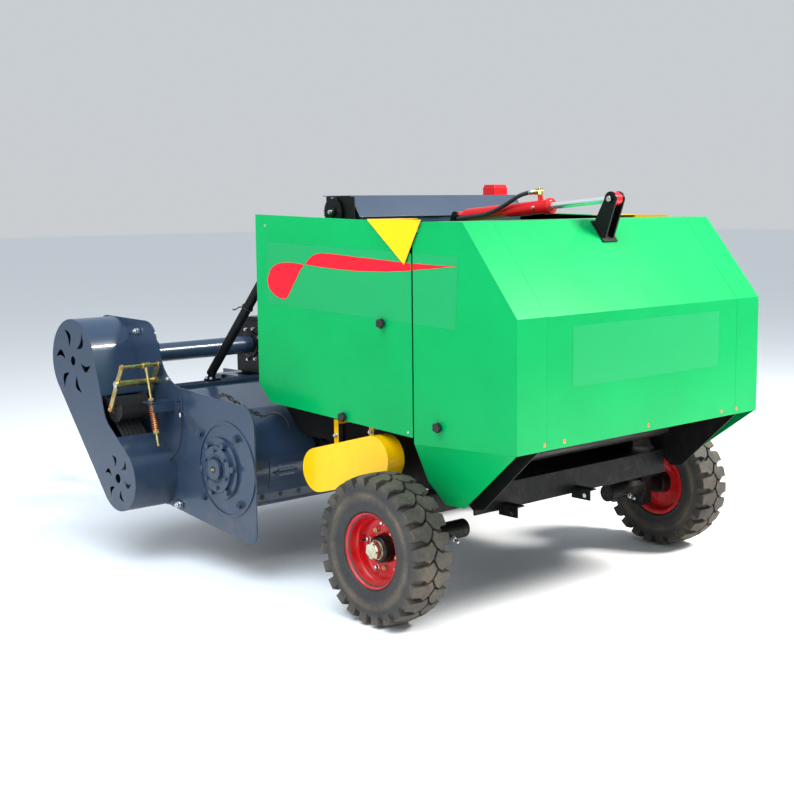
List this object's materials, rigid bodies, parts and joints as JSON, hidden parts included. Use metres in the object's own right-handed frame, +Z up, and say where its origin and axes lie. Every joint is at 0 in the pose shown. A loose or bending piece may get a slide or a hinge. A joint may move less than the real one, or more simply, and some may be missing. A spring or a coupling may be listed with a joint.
{
  "type": "pull-type straw-crushing round baler",
  "caption": "Trailed round baler with a crushing header and belt drive in front, green side covers, a lifting tailgate with its cylinder, and tyres on stub axles.",
  "frame": {"origin": "on the ground, under the middle of the whole machine's outside box", "axes": "+Z up, +Y the way of travel towards the hitch, +X the machine's right-hand side"},
  "size_m": [2.16, 3.64, 1.708],
  "materials": {
    "green_paint": "gloss",
    "header_paint": "gloss",
    "yellow_paint": "gloss",
    "red_paint": "gloss",
    "black_paint": "satin",
    "chamber_steel": "dull mill finish",
    "zinc": "yellow zinc plate",
    "chrome": "polished",
    "tyre_rubber": "dusty matt",
    "belt_rubber": "matt"
  },
  "bodies": {
    "chassis": {"axle_beam": "black_paint", "axle_arm_left": "black_paint", "axle_arm_right": "black_paint", "chamber_frame": "black_paint", "chamber_slats_front": "chamber_steel", "chamber_slats_floor": "chamber_steel", "front_cover_left": "green_paint", "front_cover_right": "green_paint", "seam_plate_left": "yellow_paint", "seam_plate_right": "yellow_paint", "front_panel": "green_paint", "twine_box": "header_paint", "cylinder_bracket": "black_paint", "header_frame": "header_paint", "header_side_left": "header_paint", "header_side_right": "header_paint", "header_brace_left": "black_paint", "header_brace_right": "black_paint", "belt_guard": "header_paint", "drive_belts": "belt_rubber", "tensioner_arm": "zinc", "tensioner_rod": "zinc", "gearbox": "black_paint", "drive_shaft_tube": "header_paint", "chain_guard": "yellow_paint", "drawbar": "header_paint", "hitch_eye": "black_paint", "jack_housing": "black_paint", "twine_gear_plate": "black_paint", "oil_tank": "red_paint"},
    "wheel_left": {"tyre_left": "tyre_rubber", "rim_left": "red_paint"},
    "wheel_right": {"tyre_right": "tyre_rubber", "rim_right": "red_paint"},
    "tailgate": {"tailgate_frame": "black_paint", "tailgate_slats": "chamber_steel", "tailgate_cover_left": "green_paint", "tailgate_cover_right": "green_paint", "tailgate_rear_panel": "green_paint", "tailgate_clevis": "black_paint"},
    "lift_barrel": {"cylinder_barrel": "red_paint", "hydraulic_hose": "belt_rubber"},
    "lift_rod": {"cylinder_rod": "chrome"},
    "crushing_rotor": {"flail_rotor": "header_paint", "rotor_pulley": "header_paint"},
    "drive_line": {"drive_shaft": "zinc", "drive_pulley": "header_paint"},
    "pto_input": {"pto_stub": "zinc"},
    "belt_idler": {"idler_roller": "belt_rubber"},
    "cross_auger": {"auger": "header_paint"},
    "inspection_door": {"header_door": "header_paint"},
    "box_lid": {"twine_box_lid": "header_paint"},
    "parking_jack": {"jack_leg": "zinc"}
  },
  "joints": [
    {"name": "pto_spin", "type": "hinge", "parent": "chassis", "child": "pto_input", "pos_m": [0.09, 0.76, 0.898], "axis": [0, 1, 0], "continuous": true},
    {"name": "wheel_left_spin", "type": "hinge", "parent": "chassis", "child": "wheel_left", "pos_m": [-0.803, -1.24, 0.295], "axis": [-1, 0, 0], "continuous": true},
    {"name": "wheel_right_spin", "type": "hinge", "parent": "chassis", "child": "wheel_right", "pos_m": [0.983, -1.24, 0.295], "axis": [-1, 0, 0], "continuous": true},
    {"name": "tailgate_lift", "type": "hinge", "parent": "chassis", "child": "tailgate", "pos_m": [0.09, -1.27, 1.43], "axis": [-1, 0, 0], "range_deg": [0, 60]},
    {"name": "barrel_pivot", "type": "hinge", "parent": "chassis", "child": "lift_barrel", "pos_m": [0.09, -0.76, 1.56], "axis": [-1, 0, 0], "range_deg": [0, 24.75]},
    {"name": "rod_slide", "type": "slide", "parent": "lift_barrel", "child": "lift_rod", "axis": [0, -0.9969, 0.0793], "range_m": [-0.2866, 0]},
    {"name": "rotor_spin", "type": "hinge", "parent": "chassis", "child": "crushing_rotor", "pos_m": [0.09, 0.275, 0.389], "axis": [-1, 0, 0], "continuous": true},
    {"name": "drive_shaft_spin", "type": "hinge", "parent": "chassis", "child": "drive_line", "pos_m": [-0.86, 0.647, 0.898], "axis": [-1, 0, 0], "continuous": true},
    {"name": "idler_spin", "type": "hinge", "parent": "chassis", "child": "belt_idler", "pos_m": [-0.975, 0.335, 0.7], "axis": [-1, 0, 0], "continuous": true},
    {"name": "auger_spin", "type": "hinge", "parent": "chassis", "child": "cross_auger", "pos_m": [0.09, -0.227, 0.475], "axis": [-1, 0, 0], "continuous": true},
    {"name": "door_hinge", "type": "hinge", "parent": "chassis", "child": "inspection_door", "pos_m": [-0.605, -0.41424, 0.53225], "axis": [-1, 0, 0], "range_deg": [0, 100]},
    {"name": "lid_hinge", "type": "hinge", "parent": "chassis", "child": "box_lid", "pos_m": [0.09, -0.428, 1.655], "axis": [-1, 0, 0], "range_deg": [0, 100]},
    {"name": "jack_slide", "type": "slide", "parent": "chassis", "child": "parking_jack", "axis": [0, 0, 1], "range_m": [0, 0.25]}
  ],
  "couplings": [
    {"joint": "barrel_pivot", "follows": "tailgate_lift", "ratio": 0.4092},
    {"joint": "rod_slide", "follows": "tailgate_lift", "m_per_rad": -0.27273},
    {"joint": "drive_shaft_spin", "follows": "rotor_spin", "ratio": 0.7705},
    {"joint": "pto_spin", "follows": "rotor_spin", "ratio": 0.5137},
    {"joint": "idler_spin", "follows": "rotor_spin", "ratio": -1.88}
  ]
}
